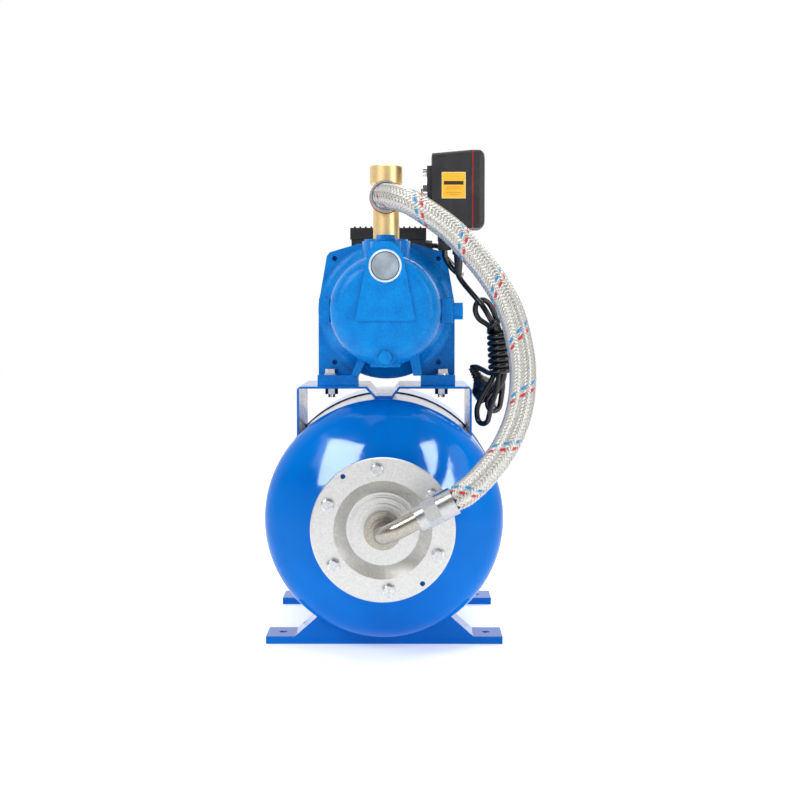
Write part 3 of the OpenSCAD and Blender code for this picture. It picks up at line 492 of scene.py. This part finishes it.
def make_world(scene):
    """The brighter of a gradient from front to back and a band along the horizon."""
    world = bpy.data.worlds.new("studio")
    world.use_nodes = True
    scene.world = world
    tree = world.node_tree
    direction = tree.nodes.new("ShaderNodeTexCoord").outputs["Generated"]
    split = tree.nodes.new("ShaderNodeSeparateXYZ")
    tree.links.new(direction, split.inputs[0])

    def stepped(axis, start, end, low, high):
        made = tree.nodes.new("ShaderNodeMapRange")
        made.interpolation_type = "SMOOTHSTEP"
        for socket, value in (("From Min", start), ("From Max", end), ("To Min", low),
                              ("To Max", high)):
            made.inputs[socket].default_value = value
        tree.links.new(split.outputs[axis], made.inputs["Value"])
        return made.outputs["Result"]

    level = stepped("Y", BACKDROP_FROM, BACKDROP_TO, ROOM_LIGHT, BACKDROP_LIGHT)
    band = stepped("Z", HORIZON_FROM, HORIZON_TO, HORIZON_LIGHT, 0)
    brighter = tree.nodes.new("ShaderNodeMath")
    brighter.operation = "MAXIMUM"
    tree.links.new(level, brighter.inputs[0])
    tree.links.new(band, brighter.inputs[1])
    background = tree.nodes["Background"]
    tree.links.new(brighter.outputs[0], background.inputs["Strength"])
    background.inputs["Color"].default_value = WHITE


def make_lamps(scene, aim):
    glossy = bpy.data.collections.new("glossy_paint")
    for name in GLOSSY_NODES:
        glossy.objects.link(NODES[name])
    for name, place, width, height, power, glint in LAMPS:
        data = bpy.data.lights.new(name, "AREA")
        data.shape = "RECTANGLE"
        data.size = width
        data.size_y = height
        data.energy = power
        lamp = bpy.data.objects.new(name, data)
        lamp.location = place
        lamp.rotation_mode = "QUATERNION"
        lamp.rotation_quaternion = (aim - Vector(place)).to_track_quat("-Z", "Y")
        if glint:
            lamp.visible_diffuse = False
            lamp.light_linking.receiver_collection = glossy
        scene.collection.objects.link(lamp)


def make_floor(height):
    bpy.ops.mesh.primitive_plane_add(size=FLOOR_SIZE, location=(0, 0, height))
    floor = bpy.context.object
    floor.name = "floor"
    s = Surface("floor", (0.93, 0.93, 0.94), roughness=0.6, glow=FLOOR_GLOW)
    s.shader.inputs["Emission Color"].default_value = WHITE
    s.tinted((0.9, 0.9, 0.91), s.ranged(s.noise(400, 2), 0.3, 0.7))
    floor.data.materials.append(s.material)


def stage():
    scene = bpy.context.scene
    scene.view_settings.view_transform = "Standard"
    make_camera(scene)
    make_world(scene)
    low, high = cad_box
    make_lamps(scene, (low + high) / 2)
    make_floor(low.z - FLOOR_GAP)


# ---- The braided hose ----


def hose_radius(along, total):
    """The braid is crimped narrow at the lower ferrule and swells out of it."""
    from_end = np.clip((total - along) / HOSE_SWELL, 0, 1)
    swell = from_end * from_end * (3 - 2 * from_end)
    return HOSE_CRIMPED + (HOSE_RADIUS - HOSE_CRIMPED) * swell


def braided_hose():
    """Two hands of woven strands over a dark tube, with tracers in red and blue."""
    line, along = spaced(curve_through(HOSE_ROUTE, 0.5), 0.25)
    keep = along < along[-1] - HOSE_HIDDEN
    line, along = line[keep], along[keep]
    total = along[-1]
    tangents, normals, sides = frames_along(line)

    def at(distance):
        pick = np.clip((distance / along[-1] * (len(along) - 1)).round().astype(int), 0,
                       len(along) - 1)
        return line[pick], tangents[pick], normals[pick], sides[pick]

    # A dark tube inside, so that no light shows between the strands.
    rings = int(total / CORE_STEP)
    distance = np.linspace(0, total, rings)
    p, t, n, b = at(distance)
    angle = np.linspace(0, 2 * math.pi, CORE_SIDES, endpoint=False)
    out = (n[:, None] * np.cos(angle)[None, :, None] + b[:, None] * np.sin(angle)[None, :, None])
    inner = hose_radius(distance, total) - CORE_INSET
    core = p[:, None] + out * inner[:, None, None]
    under = piece("hose_core", core.reshape(-1, 3),
                  grid_faces(rings, CORE_SIDES, closed=True),
                  braid("braid_under", (0.16, 0.155, 0.15), (0.06, 0.06, 0.06), 0.4))

    crossing = BRAID_PITCH / (2 * BRAID_STRANDS)
    samples = int(total / (4 * crossing) * 8)
    distance = np.linspace(0, total, samples)
    p, t, n, b = at(distance)
    radius = hose_radius(distance, total)
    width = BRAID_WIDTH / 2 * radius / HOSE_RADIUS
    groups = {name: ([], []) for name in ("braid_strand", *TRACERS.values())}
    slope = math.atan2(2 * math.pi * HOSE_RADIUS, BRAID_PITCH)
    for hand in (1, -1):
        for k in range(BRAID_STRANDS):
            angle = 2 * math.pi * (k / BRAID_STRANDS + hand * distance / BRAID_PITCH)
            phase = distance / crossing + hand * 2 * k - 0.5
            lift = hand * BRAID_LIFT * np.clip(1.5 * np.cos(math.pi / 2 * phase), -1, 1)
            rows = []
            for share, drop in BRAID_CROWN:
                turn = angle + share * width * math.cos(slope) / radius * hand
                slide = -share * width * math.sin(slope)
                outward = n * np.cos(turn)[:, None] + b * np.sin(turn)[:, None]
                height = radius - BRAID_SINK + lift + drop
                rows.append(p + outward * height[:, None] + t * slide[:, None])
            name = TRACERS.get(k, "braid_strand") if hand == 1 else "braid_strand"
            vertices, faces = groups[name]
            start = len(vertices)
            vertices.extend(np.stack(rows, 1).reshape(-1, 3))
            faces.extend(grid_faces(samples, len(BRAID_CROWN), start))
    colours = {
        "braid_strand": braid("braid_strand", (0.58, 0.57, 0.535), (0.4, 0.39, 0.36), 0.6),
        "braid_blue": braid("braid_blue", (0.01, 0.22, 0.5), (0.03, 0.35, 0.62), 0.0),
        "braid_red": braid("braid_red", (0.5, 0.015, 0.03), (0.65, 0.05, 0.07), 0.0),
    }
    for name, (vertices, faces) in groups.items():
        made = piece("hose_" + name, vertices, faces, colours[name])
        if name == "braid_strand":
            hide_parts("hose_braid")


# ---- The mains cord ----


def cord_line():
    """The whole cord: its run, its folded strands, the wraps round them and its end."""
    start, end = (np.array(p, float) for p in WRAP_AXIS)
    axis = (end - start) / np.linalg.norm(end - start)
    side = np.cross(axis, (0, 1, 0))
    side /= np.linalg.norm(side)
    front = np.cross(axis, side)
    steps = WRAP_POINTS * WRAP_TURNS
    turns = []
    for i in range(steps + 1):
        angle = 2 * math.pi * WRAP_TURNS * i / steps + math.pi * WRAP_START
        centre = start + (end - start) * i / steps
        turns.append(tuple(centre + WRAP_RADIUS * (math.cos(angle) * side
                                                   + math.sin(angle) * front)))
    return CORD_RUN + CORD_FOLDS + turns + CORD_TAIL


def mains_cord(looks, pieces):
    """One round cord along the whole line. The plug's pieces are not used."""
    line, along = spaced(curve_through(cord_line(), 0.8), 1.5)
    data = bpy.data.curves.new("mains_cord", "CURVE")
    data.dimensions = "3D"
    data.bevel_depth = CORD_RADIUS * MM
    data.bevel_resolution = 4
    data.use_fill_caps = True
    spline = data.splines.new("POLY")
    spline.points.add(len(line) - 1)
    for point, place in zip(spline.points, line):
        point.co = (*(place * MM), 1)
    spline.use_smooth = True
    data.materials.append(looks["cord"])
    made = bpy.data.objects.new("mains_cord_run", data)
    bpy.context.scene.collection.objects.link(made)
    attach(made, SET)
    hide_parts("mains_cord", "cord_bundle")


# ---- The plug and the cap's rim ----


def lathed(name, profile, origin, axis, material, body=SET, sides=64):
    """Turns (distance along the axis, radius) pairs about an axis."""
    origin, axis = np.array(origin, float), np.array(axis, float)
    axis /= np.linalg.norm(axis)
    side = np.cross(axis, (0, 1, 0) if abs(axis[1]) < 0.9 else (1, 0, 0))
    side /= np.linalg.norm(side)
    other = np.cross(axis, side)
    angle = np.linspace(0, 2 * math.pi, sides, endpoint=False)
    out = np.cos(angle)[:, None] * side + np.sin(angle)[:, None] * other
    rows = [origin + axis * along + out * radius for along, radius in profile]
    return piece(name, np.concatenate(rows), grid_faces(len(profile), sides, closed=True),
                 material, body)


def rounded(profile, reach=0.5, steps=3):
    """The profile with each inner corner cut back by a reach and curved."""
    p = np.array(profile, float)
    found = [p[0]]
    for a, b, c in zip(p, p[1:], p[2:]):
        before, after = a - b, c - b
        cut = min(reach, 0.4 * np.linalg.norm(before), 0.4 * np.linalg.norm(after))
        start = b + before / np.linalg.norm(before) * cut
        end = b + after / np.linalg.norm(after) * cut
        for t in np.linspace(0, 1, steps + 1):
            found.append((1 - t) ** 2 * start + 2 * t * (1 - t) * b + t * t * end)
    found.append(p[-1])
    return [tuple(v) for v in found]


def plug(looks):
    """A moulded two pin plug with a ribbed sleeve and a sunk face."""
    sleeve = [(-16, 0), (-16, 4.4)]
    for i in range(SLEEVE_RIBS):
        at = -14.5 + i * RIB_PITCH
        sleeve += [(at, 4.7 + RIB_GROWTH * i), (at + 0.1, 3.9 + RIB_GROWTH * i),
                   (at + 1.3, 3.9 + RIB_GROWTH * i), (at + 1.4, 4.9 + RIB_GROWTH * i)]
    body = [(0, 7.2), (1, 8.6), (4, 10.6), (7, 13.6), (9.5, 15.3), (13, 15.9), (16, 15.5),
            (20, 15.5), (23, 15.9), (25.9, 15.9), (25.9, 14.2), (23.2, 13.9), (23.2, 0)]
    made = [lathed("plug_body", rounded(sleeve + body, 0.4), PLUG_AT, PLUG_AXIS,
                   looks["plug"])]
    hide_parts("mains_plug")
    for side in (-1, 1):
        at = (PLUG_AT[0], PLUG_AT[1] + side * PLUG_PIN_HALF, PLUG_AT[2])
        pin = [(22, 2.35), (42.5, 2.35), (44.2, 1.7), (45, 0)]
        made.append(lathed("plug_pin" + "ab"[side > 0], rounded(pin, 0.6), at, PLUG_AXIS,
                           looks["steel"], sides=32))
    return made


def cap_rim(looks):
    """The pale rim of the suction cap, against the casing's pad."""
    profile = [(0.0, 15.75), (1.1, 15.75), (1.1, 18.1), (0.0, 18.1)]
    made = lathed("cap_rim", rounded(profile, 0.45), CAP_RIM_AT, (0, -1, 0), looks["rim"],
                  body="cap")


stage()
LOOKS = dress()
cap_rim(LOOKS)
mains_cord(LOOKS, plug(LOOKS))
braided_hose()
